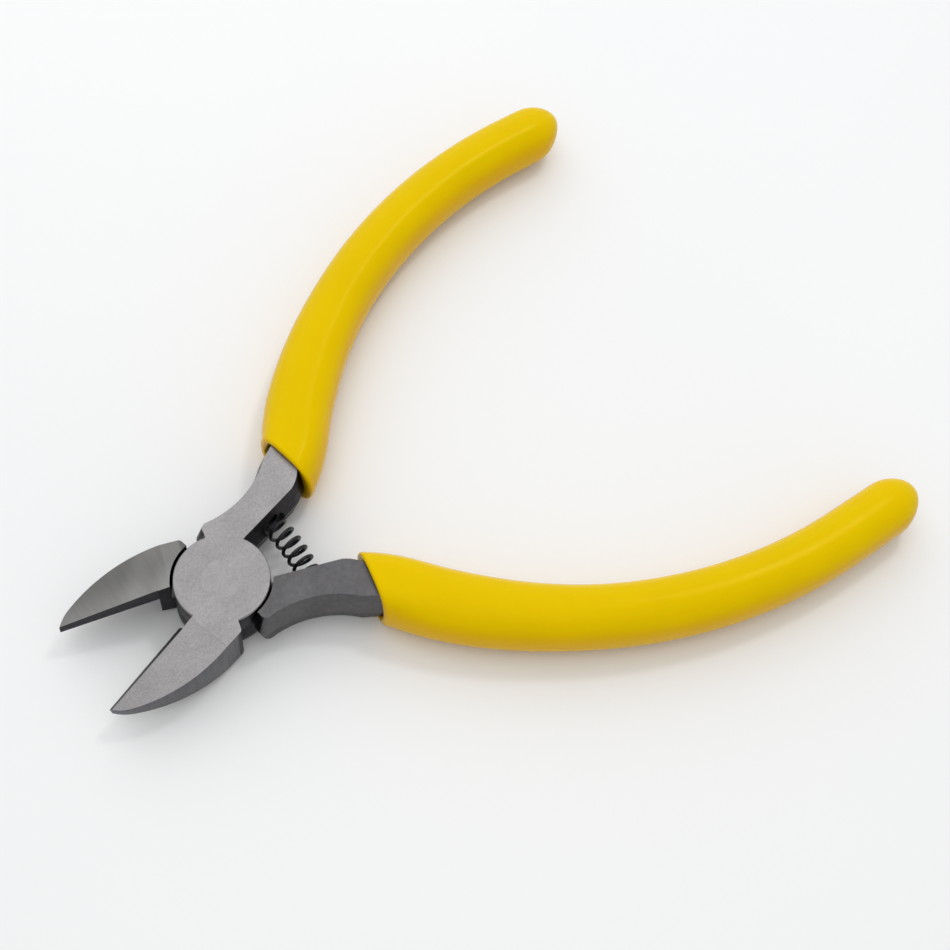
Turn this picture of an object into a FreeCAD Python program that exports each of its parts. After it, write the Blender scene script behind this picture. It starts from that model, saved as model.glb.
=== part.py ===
"""Flush cutter, 130 mm class: two forged levers in a lap joint, a flush rivet,
a return spring seated in blind holes, and two dipped vinyl grips.

Frame: origin on the pivot axis in the lower ground face of the joint, +Z up along
the pivot axis, +X along the centre line towards the handles.  Each lever is drawn
closed, with its cutting edge along -X, and is then turned about the pivot by half of
the opening angle.  The "top" lever carries the upper half of the lap joint, has its
handle on +Y and its jaw on -Y.  The "bottom" lever is its mirror image in plan.
"""
import FreeCAD, Part
import math
import os

import Sketcher

V = FreeCAD.Vector
X_AXIS = V(1, 0, 0)
Y_AXIS = V(0, 1, 0)
Z_AXIS = V(0, 0, 1)

# half the joint's thickness is the parting plane of the forgings
MID = "Sizes.joint_thickness / 2"

SIZES = {
    # joint
    "joint_thickness": 8.0,
    "joint_radius": 7.25,
    "recess_gap": 0.4,
    "lap_gap": 0.04,
    "half_open_angle": 17.1,
    "rim_break": 0.15,
    # rivet
    "rivet_radius": 2.2,
    "rivet_head_radius": 3.1,
    "rivet_head_depth": 0.9,
    "rivet_play": 0.03,
    # jaw, measured from the pivot axis
    "jaw_length": 24.5,
    "jaw_nose_width": 0.45,
    "jaw_nose_x": 22.6,
    "jaw_nose_y": 2.75,
    "jaw_side_x": 7.5,
    "jaw_side_y": 7.85,
    "jaw_side_bend": 25.0,
    "jaw_nose_bend": 6.5,
    "jaw_root_x": 4.4,
    "jaw_root_y": 7.85,
    "jaw_heel_x": 1.5,
    "jaw_heel_y": 3.0,
    "jaw_corner_round": 0.7,
    "edge_clearance": 0.03,
    "edge_start_x": 9.4,
    "relief_y": 0.8,
    "slope_start_x": 7.5,
    "top_drop": 3.55,
    "bottom_rise": 3.0,
    # ground bevels at the cutting edge: depth under the top face, width in plan
    "edge_depth_heel": 1.2,
    "edge_depth_tip": 0.7,
    "bevel_width_heel": 0.85,
    "bevel_width_tip": 0.5,
    "back_width_heel": 3.4,
    "back_width_tip": 0.35,
    # neck; the forging is drafted from its parting plane (mid) to its faces
    "neck_start_x": 1.5,
    "neck_start_y": 3.2,
    "neck_bend_x": 17.9,
    "neck_inner_bend": 6.0,
    "mid_inner_y": 0.9,
    "face_inner_y": 1.85,
    "mid_waist_bend": 17.0,
    "face_waist_bend": 15.7,
    "mid_shoulder_x": 4.5,
    "mid_shoulder_y": 8.95,
    "face_shoulder_x": 5.1,
    "face_shoulder_y": 8.0,
    "shoulder_cut_x": 1.2,
    "shoulder_cut_y": 0.95,
    "shoulder_round": 1.1,
    # handle centre line, from the neck to the end
    "handle_x": 20.0,
    "handle_y": 5.9,
    "handle_angle": 17.4,
    "splay_angle": 31.2,
    "toe_in_angle": 17.9,
    "splay_bend": 27.0,
    "splay_run": 4.0,
    "handle_bend": 79.2,
    "tang_end_run": 4.0,
    "top_grip_end_run": 9.7,
    "bottom_grip_end_run": 14.2,
    # half width of the arm where it enters the grip, and of the tang inside the grip
    "mid_neck_width": 3.8,
    "face_neck_width": 2.8,
    "mid_tang_width": 3.1,
    "face_tang_width": 2.0,
    # grip section, thinning a little from the neck to the end
    "grip_half_width": 4.95,
    "grip_end_half_width": 4.4,
    "grip_height_ratio": 1.06,
    "grip_corner_ratio": 0.9,
    "grip_end_round": 3.8,
    "grip_rim_x": 21.3,
    # spring
    "spring_hole_x": 13.0,
    "spring_hole_radius": 2.3,
    "spring_hole_floor": 3.5,
    "spring_radius": 1.72,
    "wire_radius": 0.28,
    "spring_pitch": 1.75,
    "spring_end_pitch": 0.6,
    "spring_end_turns": 1.0,
    "spring_seat_gap": 0.35,
    "spring_lean": 8.0,
    "spring_shift": -0.12,
}


def make_sheet(doc):
    """The driving dimensions, one alias per cell, millimetres and degrees."""
    sheet = doc.addObject("Spreadsheet::Sheet", "Sizes")
    for row, (alias, value) in enumerate(SIZES.items(), start=1):
        sheet.set(f"A{row}", alias)
        sheet.set(f"B{row}", str(value))
        sheet.setAlias(f"B{row}", alias)
    doc.recompute()
    return sheet


def plane_of(body, role):
    return next(f for f in body.Origin.OriginFeatures if f.Role == role)


def new_sketch(body, name, role, offset=None):
    """A sketch on one of the body's origin planes, shifted and turned by offset.

    offset maps Base.x, Base.y, Base.z and Rotation.Angle to expressions.  The turn is
    about the sketch's own vertical axis.
    """
    sketch = body.newObject("Sketcher::SketchObject", name)
    sketch.AttachmentSupport = [(plane_of(body, role), "")]
    sketch.MapMode = "FlatFace"
    upright = FreeCAD.Rotation(Y_AXIS, 1)
    sketch.AttachmentOffset = FreeCAD.Placement(V(), upright)
    for path, expression in {"Rotation.Angle": "0", **(offset or {})}.items():
        sketch.setExpression(f"AttachmentOffset.{path}", expression)
    body.Document.recompute()
    return sketch


def value_of(thing, expression):
    return float(thing.evalExpression(expression))


def bind(sketch, kind, *refs, size):
    """Add a dimension driven by the expression in size."""
    value = value_of(sketch, size)
    if kind == "Angle":
        value = math.radians(value)
    index = sketch.addConstraint(Sketcher.Constraint(kind, *refs, value))
    sketch.setExpression(f"Constraints[{index}]", size)


def arc_between(start, end, radius, turns_left):
    """The arc from start to end; a left turn runs counterclockwise."""
    chord = end - start
    half = chord.Length / 2
    rise = math.sqrt(radius**2 - half**2)
    left = V(-chord.y, chord.x, 0).normalize()
    centre = (start + end) * 0.5 + left * (rise if turns_left else -rise)
    first, last = (start, end) if turns_left else (end, start)
    angle_in = math.atan2(first.y - centre.y, first.x - centre.x)
    angle_out = math.atan2(last.y - centre.y, last.x - centre.x)
    return Part.ArcOfCircle(Part.Circle(centre, Z_AXIS, radius), angle_in, angle_out)


def closed_outline(sketch, corners, arcs=None):
    """Draw a closed outline through corners, each an (x, y) pair of expressions.

    arcs maps the number of an edge to (radius expression, turns_left).
    """
    arcs = arcs or {}
    points = [V(value_of(sketch, x), value_of(sketch, y), 0) for x, y in corners]
    edges = []
    for number, start in enumerate(points):
        end = points[(number + 1) % len(points)]
        if number in arcs:
            radius, turns_left = arcs[number]
            curve = arc_between(start, end, value_of(sketch, radius), turns_left)
            first, last = (1, 2) if turns_left else (2, 1)
        else:
            curve = Part.LineSegment(start, end)
            first, last = 1, 2
        edges.append((sketch.addGeometry(curve), first, last))
    for number, (geo, first, _) in enumerate(edges):
        before, _, last = edges[number - 1]
        sketch.addConstraint(Sketcher.Constraint("Coincident", before, last, geo, first))
        bind(sketch, "DistanceX", -1, 1, geo, first, size=corners[number][0])
        bind(sketch, "DistanceY", -1, 1, geo, first, size=corners[number][1])
        if number in arcs:
            bind(sketch, "Radius", geo, size=arcs[number][0])


def circle_on_axis(sketch, radius):
    geo = sketch.addGeometry(Part.Circle(V(), Z_AXIS, value_of(sketch, radius)))
    sketch.addConstraint(Sketcher.Constraint("Coincident", geo, 3, -1, 1))
    bind(sketch, "Radius", geo, size=radius)


def feature(body, kind, name, profile, sizes=None, **settings):
    """Add a sketch-based feature; sizes maps its properties to expressions."""
    made = body.newObject(f"PartDesign::{kind}", name)
    made.Profile = profile
    for key, value in settings.items():
        setattr(made, key, value)
    for key, expression in (sizes or {}).items():
        made.setExpression(key, expression)
    body.Document.recompute()
    body.Tip = made
    return made


def round_edges(body, name, kind, size, wanted):
    """Fillet or chamfer the edges of the tip for which wanted(edge) holds."""
    base = body.Tip
    names = [f"Edge{i}" for i, edge in enumerate(base.Shape.Edges, start=1) if wanted(edge)]
    if not names:
        raise RuntimeError(f"{body.Label}: no edge for {name}")
    made = body.newObject(f"PartDesign::{kind}", name)
    made.Base = (base, names)
    made.setExpression("Radius" if kind == "Fillet" else "Size", size)
    body.Document.recompute()
    body.Tip = made
    return made


# ---------------------------------------------------------------- the handle's course


def handle_points(sheet, run, side):
    """Corner points of the tangent chain: neck end, arc, straight, arc, end."""
    start_angle = math.radians(sheet.handle_angle)
    splay = math.radians(sheet.splay_angle)
    toe = -math.radians(sheet.toe_in_angle)
    p0 = V(sheet.handle_x, sheet.handle_y, 0)
    p1 = p0 + sheet.splay_bend * V(
        math.sin(splay) - math.sin(start_angle), math.cos(start_angle) - math.cos(splay), 0
    )
    p2 = p1 + sheet.splay_run * V(math.cos(splay), math.sin(splay), 0)
    p3 = p2 + sheet.handle_bend * V(
        math.sin(splay) - math.sin(toe), math.cos(toe) - math.cos(splay), 0
    )
    p4 = p3 + run * V(math.cos(toe), math.sin(toe), 0)
    return [V(p.x, side * p.y, 0) for p in (p0, p1, p2, p3, p4)]


def handle_path(body, sheet, name, side, run_alias):
    """The handle's centre line at mid height: arc, straight, arc, straight."""
    sketch = new_sketch(body, name, "XY_Plane", {"Base.z": MID})
    p0, p1, p2, p3, p4 = handle_points(sheet, getattr(sheet, run_alias), side)
    left = side > 0
    splay = sketch.addGeometry(arc_between(p0, p1, sheet.splay_bend, left))
    run = sketch.addGeometry(Part.LineSegment(p1, p2))
    bow = sketch.addGeometry(arc_between(p2, p3, sheet.handle_bend, not left))
    tail = sketch.addGeometry(Part.LineSegment(p3, p4))
    splay_in, splay_out = (1, 2) if left else (2, 1)
    bow_in, bow_out = (2, 1) if left else (1, 2)
    for pair in (
        (splay, splay_out, run, 1),
        (run, 2, bow, bow_in),
        (bow, bow_out, tail, 1),
    ):
        sketch.addConstraint(Sketcher.Constraint("Tangent", *pair))
    bind(sketch, "DistanceX", -1, 1, splay, splay_in, size="Sizes.handle_x")
    bind(sketch, "DistanceY", -1, 1, splay, splay_in, size=f"{side} * Sizes.handle_y")
    bind(sketch, "Radius", splay, size="Sizes.splay_bend")
    bind(sketch, "Radius", bow, size="Sizes.handle_bend")
    bind(sketch, "Distance", run, 1, run, 2, size="Sizes.splay_run")
    bind(sketch, "Distance", tail, 1, tail, 2, size=f"Sizes.{run_alias}")
    bind(sketch, "Angle", run, size=f"{side} * Sizes.splay_angle")
    bind(sketch, "Angle", tail, size=f"{-side} * Sizes.toe_in_angle")
    body.Document.recompute()
    return sketch


def handle_corners(side, run, first_offset, offset):
    """Corners of a line beside the handle's centre line, as pairs of expressions.

    The offsets are distances to its left, seen from the neck of the top lever: at the
    first corner, and at all the others.
    """
    start, splay, toe = "Sizes.handle_angle", "Sizes.splay_angle", "Sizes.toe_in_angle"
    steps = [
        ("Sizes.handle_x", "Sizes.handle_y"),
        (
            f"Sizes.splay_bend * (sin({splay}) - sin({start}))",
            f"Sizes.splay_bend * (cos({start}) - cos({splay}))",
        ),
        (f"Sizes.splay_run * cos({splay})", f"Sizes.splay_run * sin({splay})"),
        (
            f"Sizes.handle_bend * (sin({splay}) + sin({toe}))",
            f"Sizes.handle_bend * (cos({toe}) - cos({splay}))",
        ),
        (f"{run} * cos({toe})", f"-{run} * sin({toe})"),
    ]
    turns = [start, splay, splay, f"(-{toe})", f"(-{toe})"]
    offsets = [first_offset] + [offset] * 4
    corners = []
    x_sum, y_sum = "0", "0"
    for (x_step, y_step), turn_angle, aside in zip(steps, turns, offsets):
        x_sum += f" + {x_step}"
        y_sum += f" + {y_step}"
        x_side = f"{aside} * sin({turn_angle})"
        y_side = f"{aside} * cos({turn_angle})"
        corners.append((f"{x_sum} - ({x_side})", f"{side} * ({y_sum} + {y_side})"))
    return corners


def arm_outline(body, name, side, level, height):
    """Neck and tang at one height, from inside the joint to the handle's end.

    level is mid for the parting plane, where the forging is widest, or face for its
    flat top and bottom.
    """
    sketch = new_sketch(body, name, "XY_Plane", {"Base.z": height})
    neck, tang = f"Sizes.{level}_neck_width", f"Sizes.{level}_tang_width"
    inner = handle_corners(side, "Sizes.tang_end_run", f"(-{neck})", f"(-{tang})")
    outer = handle_corners(side, "Sizes.tang_end_run", neck, tang)
    shoulder_x, shoulder_y = f"Sizes.{level}_shoulder_x", f"Sizes.{level}_shoulder_y"
    corners = [
        ("Sizes.neck_start_x", f"{side} * Sizes.{level}_inner_y"),
        ("Sizes.neck_bend_x", f"{side} * Sizes.{level}_inner_y"),
        *inner,
        *reversed(outer),
        (shoulder_x, f"{side} * {shoulder_y}"),
        (f"{shoulder_x} - Sizes.shoulder_cut_x", f"{side} * ({shoulder_y} - Sizes.shoulder_cut_y)"),
        ("Sizes.neck_start_x", f"{side} * Sizes.neck_start_y"),
    ]
    left, right = side > 0, side < 0
    arcs = {
        1: ("Sizes.neck_inner_bend", left),
        2: (f"Sizes.splay_bend + {tang}", left),
        4: (f"Sizes.handle_bend - {tang}", right),
        8: (f"Sizes.handle_bend + {tang}", left),
        10: (f"Sizes.splay_bend - {tang}", right),
        11: (f"Sizes.{level}_waist_bend", right),
        12: ("Sizes.shoulder_round", left),
    }
    closed_outline(sketch, corners, arcs)
    return sketch


def arm_halves(body, kind, name, side):
    """The arm's upper and lower half, each drafted from the parting plane to a face."""
    for half, height in (("upper", "Sizes.joint_thickness"), ("lower", "0")):
        wide = arm_outline(body, f"{name}_{half}_mid", side, "mid", MID)
        flat = arm_outline(body, f"{name}_{half}_face", side, "face", height)
        feature(body, kind, f"{name}_{half}", wide, Sections=[flat], Ruled=True)


# ---------------------------------------------------------------- levers


def joint_disc(body, side, on_top):
    """This lever's half of the lap joint."""
    start = f"{MID} + Sizes.lap_gap / 2" if on_top else "0"
    sketch = new_sketch(body, "joint_outline", "XY_Plane", {"Base.z": start})
    circle_on_axis(sketch, "Sizes.joint_radius")
    height = f"{MID} - Sizes.lap_gap / 2"
    return feature(body, "Pad", "joint_disc", sketch, {"Length": height})


def jaw(body, sheet, side):
    """Jaw blank, straight-walled, from inside the joint to the nose."""
    sketch = new_sketch(body, "jaw_outline", "XY_Plane")
    corners = [
        ("-Sizes.jaw_length", f"{-side} * Sizes.edge_clearance"),
        ("-Sizes.jaw_length", f"{-side} * Sizes.jaw_nose_width"),
        ("-Sizes.jaw_nose_x", f"{-side} * Sizes.jaw_nose_y"),
        ("-Sizes.jaw_side_x", f"{-side} * Sizes.jaw_side_y"),
        ("-Sizes.jaw_root_x", f"{-side} * Sizes.jaw_root_y"),
        ("-Sizes.jaw_heel_x", f"{-side} * Sizes.jaw_heel_y"),
        ("-Sizes.jaw_heel_x", f"{-side} * Sizes.relief_y"),
        ("-Sizes.edge_start_x", f"{-side} * Sizes.relief_y"),
        ("-Sizes.edge_start_x", f"{-side} * Sizes.edge_clearance"),
    ]
    arcs = {
        1: ("Sizes.jaw_nose_bend", side > 0),
        2: ("Sizes.jaw_side_bend", side > 0),
    }
    closed_outline(sketch, corners, arcs)
    feature(body, "Pad", "jaw", sketch, {"Length": "Sizes.joint_thickness"})
    root = V(-sheet.jaw_root_x, -side * sheet.jaw_root_y, 0)

    def at_root(edge):
        return all(math.hypot(v.X - root.x, v.Y - root.y) < 0.01 for v in edge.Vertexes)

    round_edges(body, "jaw_corner", "Fillet", "Sizes.jaw_corner_round", at_root)


def joint_recess(body, on_top):
    """Clearance pocket round the other lever's disc."""
    if on_top:
        sketch = new_sketch(body, "recess_outline", "XY_Plane")
        depth = f"{MID} + Sizes.lap_gap / 2"
    else:
        start = {"Base.z": "Sizes.joint_thickness"}
        sketch = new_sketch(body, "recess_outline", "XY_Plane", start)
        depth = f"{MID} + Sizes.lap_gap / 2"
    circle_on_axis(sketch, "Sizes.joint_radius + Sizes.recess_gap")
    return feature(body, "Pocket", "joint_recess", sketch, {"Length": depth}, Reversed=on_top)


def rim_break(body, sheet, on_top):
    """Small chamfer round the outer ground face of this lever's disc."""
    height = sheet.joint_thickness if on_top else 0

    def on_rim(edge):
        curve = edge.Curve
        if not isinstance(curve, Part.Circle):
            return False
        level = all(abs(v.Z - height) < 0.01 for v in edge.Vertexes)
        return level and abs(curve.Radius - sheet.joint_radius) < 0.01

    round_edges(body, "rim_break", "Chamfer", "Sizes.rim_break", on_rim)


def jaw_slopes(body):
    """The flat planes that thin the jaw from the joint down to the nose."""
    past_nose = "-(Sizes.jaw_length + 1)"
    reach = "(Sizes.jaw_length + 1 - Sizes.slope_start_x)"
    span = "(Sizes.jaw_length - Sizes.slope_start_x)"
    crease = "-Sizes.slope_start_x"
    over = "(Sizes.joint_thickness + 1)"
    above = [
        (crease, "Sizes.joint_thickness"),
        (crease, over),
        (past_nose, over),
        (past_nose, f"Sizes.joint_thickness - Sizes.top_drop * {reach} / {span}"),
    ]
    below = [
        (crease, "0"),
        (crease, "-1"),
        (past_nose, "-1"),
        (past_nose, f"Sizes.bottom_rise * {reach} / {span}"),
    ]
    for name, corners in (("top_slope", above), ("bottom_slope", below)):
        sketch = new_sketch(body, f"{name}_outline", "XZ_Plane")
        closed_outline(sketch, corners)
        feature(body, "Pocket", name, sketch, SideType="Symmetric", Type="ThroughAll")


def bevel_section(body, name, side, at, corners):
    """A cutter section square to the cutting edge, at a distance from the pivot."""
    sketch = new_sketch(body, name, "YZ_Plane", {"Base.z": f"-{at}"})
    closed_outline(sketch, [(f"{-side} * ({y})", z) for y, z in corners])
    return sketch


def edge_bevels(body, side):
    """Narrow bevel on the flush side and wide bevel on the back of the cutting edge."""
    heel, tip = "Sizes.edge_start_x", "Sizes.jaw_length"
    span = "(Sizes.jaw_length - Sizes.slope_start_x)"
    heel_top = f"(Sizes.joint_thickness - Sizes.top_drop * ({heel} - Sizes.slope_start_x) / {span})"
    tip_top = "(Sizes.joint_thickness - Sizes.top_drop)"
    heel_low = f"(Sizes.bottom_rise * ({heel} - Sizes.slope_start_x) / {span})"
    tip_low = "Sizes.bottom_rise"
    heel_edge = f"({heel_top} - Sizes.edge_depth_heel)"
    tip_edge = f"({tip_top} - Sizes.edge_depth_tip)"
    clear = "Sizes.edge_clearance"

    def flush(top, edge, width):
        slope = f"({top} - {edge}) / ({width})"
        return [
            (clear, edge),
            (f"{clear} + 2 * {width}", f"{edge} + 2 * {width} * {slope}"),
            (f"{clear} - 1", f"{edge} + 2 * {width} * {slope}"),
            (f"{clear} - 1", edge),
        ]

    def back(low, edge, width):
        slope = f"({edge} - {low}) / ({width})"
        return [
            (clear, edge),
            (f"{clear} + 2 * {width}", f"{edge} - 2 * {width} * {slope}"),
            (f"{clear} - 1", f"{edge} - 2 * {width} * {slope}"),
            (f"{clear} - 1", edge),
        ]

    sets = {
        "flush_bevel": (
            flush(heel_top, heel_edge, "Sizes.bevel_width_heel"),
            flush(tip_top, tip_edge, "Sizes.bevel_width_tip"),
        ),
        "back_bevel": (
            back(heel_low, heel_edge, "Sizes.back_width_heel"),
            back(tip_low, tip_edge, "Sizes.back_width_tip"),
        ),
    }
    for name, (at_heel, at_tip) in sets.items():
        first = bevel_section(body, f"{name}_heel", side, heel, at_heel)
        last = bevel_section(body, f"{name}_tip", side, tip, at_tip)
        feature(body, "SubtractiveLoft", name, first, Sections=[last], Ruled=True)


def rivet_profile(sketch, play):
    """Half section of the rivet, or with some play its countersunk hole."""
    shank = f"Sizes.rivet_radius + {play}"
    head = f"Sizes.rivet_head_radius + {play}"
    low, high = "Sizes.rivet_head_depth", "Sizes.joint_thickness - Sizes.rivet_head_depth"
    corners = [
        ("0", "0"),
        (head, "0"),
        (shank, low),
        (shank, high),
        (head, "Sizes.joint_thickness"),
        ("0", "Sizes.joint_thickness"),
    ]
    closed_outline(sketch, corners)


def rivet_hole(body, play):
    sketch = new_sketch(body, "rivet_hole_profile", "XZ_Plane")
    rivet_profile(sketch, play)
    return feature(body, "Groove", "rivet_hole", sketch, ReferenceAxis=(sketch, ["V_Axis"]))


def spring_hole(body, side):
    """Blind hole in the inner wall of the neck, square to the closing line."""
    sketch = new_sketch(body, "spring_hole_outline", "XZ_Plane")
    place = V(value_of(sketch, "Sizes.spring_hole_x"), value_of(sketch, MID), 0)
    size = "Sizes.spring_hole_radius"
    geo = sketch.addGeometry(Part.Circle(place, Z_AXIS, value_of(sketch, size)))
    bind(sketch, "DistanceX", -1, 1, geo, 3, size="Sizes.spring_hole_x")
    bind(sketch, "DistanceY", -1, 1, geo, 3, size=MID)
    bind(sketch, "Radius", geo, size=size)
    depth = {"Length": "Sizes.spring_hole_floor"}
    return feature(body, "Pocket", "spring_hole", sketch, depth, Reversed=side < 0)


def make_lever(doc, sheet, label, side, on_top):
    body = doc.addObject("PartDesign::Body", label)
    body.Label = label
    joint_disc(body, side, on_top)
    arm_halves(body, "AdditiveLoft", "arm", side)
    jaw(body, sheet, side)
    joint_recess(body, on_top)
    rim_break(body, sheet, on_top)
    jaw_slopes(body)
    edge_bevels(body, side)
    spring_hole(body, side)
    rivet_hole(body, "0" if on_top else "Sizes.rivet_play")
    turn(body, side)
    return body


def turn(body, side):
    """Open the lever by its half of the opening angle."""
    body.Placement = FreeCAD.Placement(V(), FreeCAD.Rotation(Z_AXIS, 1))
    body.setExpression("Placement.Rotation.Angle", f"{side} * Sizes.half_open_angle")


# ---------------------------------------------------------------- rivet


def make_rivet(doc):
    body = doc.addObject("PartDesign::Body", "pivot_rivet")
    body.Label = "pivot_rivet"
    sketch = new_sketch(body, "rivet_profile", "XZ_Plane")
    rivet_profile(sketch, "0")
    feature(body, "Revolution", "rivet", sketch, ReferenceAxis=(sketch, ["V_Axis"]))
    return body


# ---------------------------------------------------------------- grips


def grip_section(body, name, side, half_width, place):
    """Rounded-rectangle outside of the dipped grip, square to the handle."""
    x, y, angle = place
    offset = {
        "Base.x": f"{side} * ({y})",
        "Base.y": MID,
        "Base.z": x,
        "Rotation.Angle": f"{side} * ({angle})",
    }
    sketch = new_sketch(body, name, "YZ_Plane", offset)
    wide = half_width
    high = f"{half_width} * Sizes.grip_height_ratio"
    soft = f"{half_width} * Sizes.grip_corner_ratio"
    corners = [
        (wide, f"{high} - {soft}"),
        (f"{wide} - {soft}", high),
        (f"{soft} - {wide}", high),
        (f"-{wide}", f"{high} - {soft}"),
        (f"-{wide}", f"{soft} - {high}"),
        (f"{soft} - {wide}", f"-{high}"),
        (f"{wide} - {soft}", f"-{high}"),
        (wide, f"{soft} - {high}"),
    ]
    closed_outline(sketch, corners, {edge: (soft, True) for edge in (0, 2, 4, 6)})
    return sketch


def make_grip(doc, sheet, label, side, run_alias):
    """Vinyl sleeve with a closed end, dipped on the tang."""
    body = doc.addObject("PartDesign::Body", label)
    body.Label = label
    spine_names = [f"Edge{i + 1}" for i in range(4)]
    path = handle_path(body, sheet, "grip_course", side, run_alias)
    start = ("Sizes.handle_x", "Sizes.handle_y", "Sizes.handle_angle")
    finish = (*handle_corners(1, f"Sizes.{run_alias}", "0", "0")[-1], "-Sizes.toe_in_angle")
    section = grip_section(body, "front_section", side, "Sizes.grip_half_width", start)
    last = grip_section(body, "end_section", side, "Sizes.grip_end_half_width", finish)
    feature(
        body, "AdditivePipe", "sleeve", section,
        Spine=(path, spine_names), Mode="Standard", Transformation="Multisection", Sections=[last],
    )
    end = handle_points(sheet, getattr(sheet, run_alias), side)[-1]
    end += V(0, 0, sheet.joint_thickness / 2)

    def at_end(edge):
        return all((v.Point - end).Length < 1.6 * sheet.grip_end_half_width for v in edge.Vertexes)

    toe = math.radians(sheet.toe_in_angle)
    heading = V(math.cos(toe), -side * math.sin(toe), 0)

    def on_end_face(edge):
        middle = edge.CenterOfMass - end
        return at_end(edge) and abs(middle.dot(heading)) < 0.01

    round_edges(body, "rounded_end", "Fillet", "Sizes.grip_end_round", on_end_face)
    rim = new_sketch(body, "rim_cut", "XY_Plane")
    wide = "(3 * Sizes.grip_rim_x)"
    corners = [
        ("Sizes.grip_rim_x", f"-{wide}"),
        ("Sizes.grip_rim_x", wide),
        ("1", wide),
        ("1", f"-{wide}"),
    ]
    closed_outline(rim, corners)
    feature(body, "Pocket", "rim", rim, SideType="Symmetric", Type="ThroughAll")
    arm_halves(body, "SubtractiveLoft", "bore", side)
    turn(body, side)
    return body


# ---------------------------------------------------------------- return spring


def spring_bend(sheet):
    """Mouth of the top lever's hole as the spring passes it, bend radius and lean.

    The spring leans less than its holes, as far as its play in them allows.
    """
    half = math.radians(sheet.half_open_angle)
    lean = math.radians(sheet.spring_lean)
    mouth = V(
        sheet.spring_hole_x * math.cos(half) - sheet.mid_inner_y * math.sin(half),
        sheet.spring_hole_x * math.sin(half) + sheet.mid_inner_y * math.cos(half),
        sheet.joint_thickness / 2,
    )
    mouth.x += sheet.spring_shift
    return mouth, mouth.y / math.sin(lean), lean


def spring_axis_frame(sheet, along):
    """Point and direction on the spring's axis, at a signed length from its middle.

    The axis is an arc between the mouths of the two holes and straight inside them.
    """
    mouth, bend, lean = spring_bend(sheet)
    turned = max(-lean, min(lean, along / bend))
    centre = V(mouth.x - bend * math.cos(lean), 0, mouth.z)
    heading = V(-math.sin(turned), math.cos(turned), 0)
    point = centre + bend * V(math.cos(turned), math.sin(turned), 0)
    inside = abs(along) - bend * lean
    if inside > 0:
        point += heading * math.copysign(inside, along)
    return point, heading


def spring_course(sheet):
    """Points along the wire of the spring, close-wound at its two ends."""
    steps_per_turn = 12
    _, bend, lean = spring_bend(sheet)
    seat = sheet.spring_hole_floor - sheet.mid_inner_y - sheet.wire_radius - sheet.spring_seat_gap
    reach = bend * lean + seat
    closed = sheet.spring_end_pitch * sheet.spring_end_turns
    steps_in_end = round(sheet.spring_end_turns * steps_per_turn)
    steps_open = round(2 * (reach - closed) / sheet.spring_pitch * steps_per_turn)
    rises = [closed / steps_in_end] * steps_in_end
    rises += [2 * (reach - closed) / steps_open] * steps_open
    rises += [closed / steps_in_end] * steps_in_end
    points = []
    along = -reach
    for number, rise in enumerate([0.0] + rises):
        along += rise
        angle = 2 * math.pi * number / steps_per_turn
        point, heading = spring_axis_frame(sheet, along)
        side_way = heading.cross(Z_AXIS)
        offset = side_way * math.cos(angle) - Z_AXIS * math.sin(angle)
        points.append(point + offset * sheet.spring_radius)
    return points


def make_spring(doc, sheet):
    curve = Part.BSplineCurve()
    curve.interpolate(spring_course(sheet))
    course = Part.Wire([curve.toShape()])
    start = curve.value(curve.FirstParameter)
    heading = curve.tangent(curve.FirstParameter)[0]
    section = Part.Wire([Part.Circle(start, heading, sheet.wire_radius).toShape()])
    shell = Part.BRepOffsetAPI.MakePipeShell(course)
    shell.setFrenetMode(True)
    shell.add(section)
    shell.build()
    shell.makeSolid()
    spring = doc.addObject("Part::Feature", "return_spring")
    spring.Label = "return_spring"
    spring.Shape = shell.shape()
    spring.Placement = FreeCAD.Placement()
    return spring


# ---------------------------------------------------------------- whole tool


def check(doc, parts):
    """Stop on any failed object or bad solid."""
    for thing in doc.Objects:
        if "Invalid" in thing.State or "Error" in thing.State:
            raise RuntimeError(f"{thing.Label} failed: {thing.State}")
    for part in parts:
        shape = part.Shape
        if shape.isNull() or not shape.isValid() or len(shape.Solids) != 1:
            raise RuntimeError(f"{part.Label} is not one valid solid")
        box = shape.BoundBox
        print(
            f"{part.Label:20s} {shape.Volume:9.2f} mm3  "
            f"x {box.XMin:7.2f} {box.XMax:7.2f}  y {box.YMin:7.2f} {box.YMax:7.2f}  "
            f"z {box.ZMin:6.2f} {box.ZMax:6.2f}"
        )


def main():
    doc = FreeCAD.newDocument("flush_cutter")
    sheet = make_sheet(doc)
    parts = [
        make_lever(doc, sheet, "top_lever", 1, True),
        make_lever(doc, sheet, "bottom_lever", -1, False),
        make_rivet(doc),
        make_spring(doc, sheet),
        make_grip(doc, sheet, "top_lever_grip", 1, "top_grip_end_run"),
        make_grip(doc, sheet, "bottom_lever_grip", -1, "bottom_grip_end_run"),
    ]
    doc.recompute()
    check(doc, parts)
    os.makedirs("parts", exist_ok=True)
    for part in parts:
        part.Shape.exportStep(f"parts/{part.Label}.step")


main()
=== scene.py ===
"""Looks of the flush cutter: ground and blackened steel, dipped vinyl grips, a coiled
wire spring, a pale floor and soft studio light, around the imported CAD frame."""
import math

import bpy
from mathutils import Matrix, Vector


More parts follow.
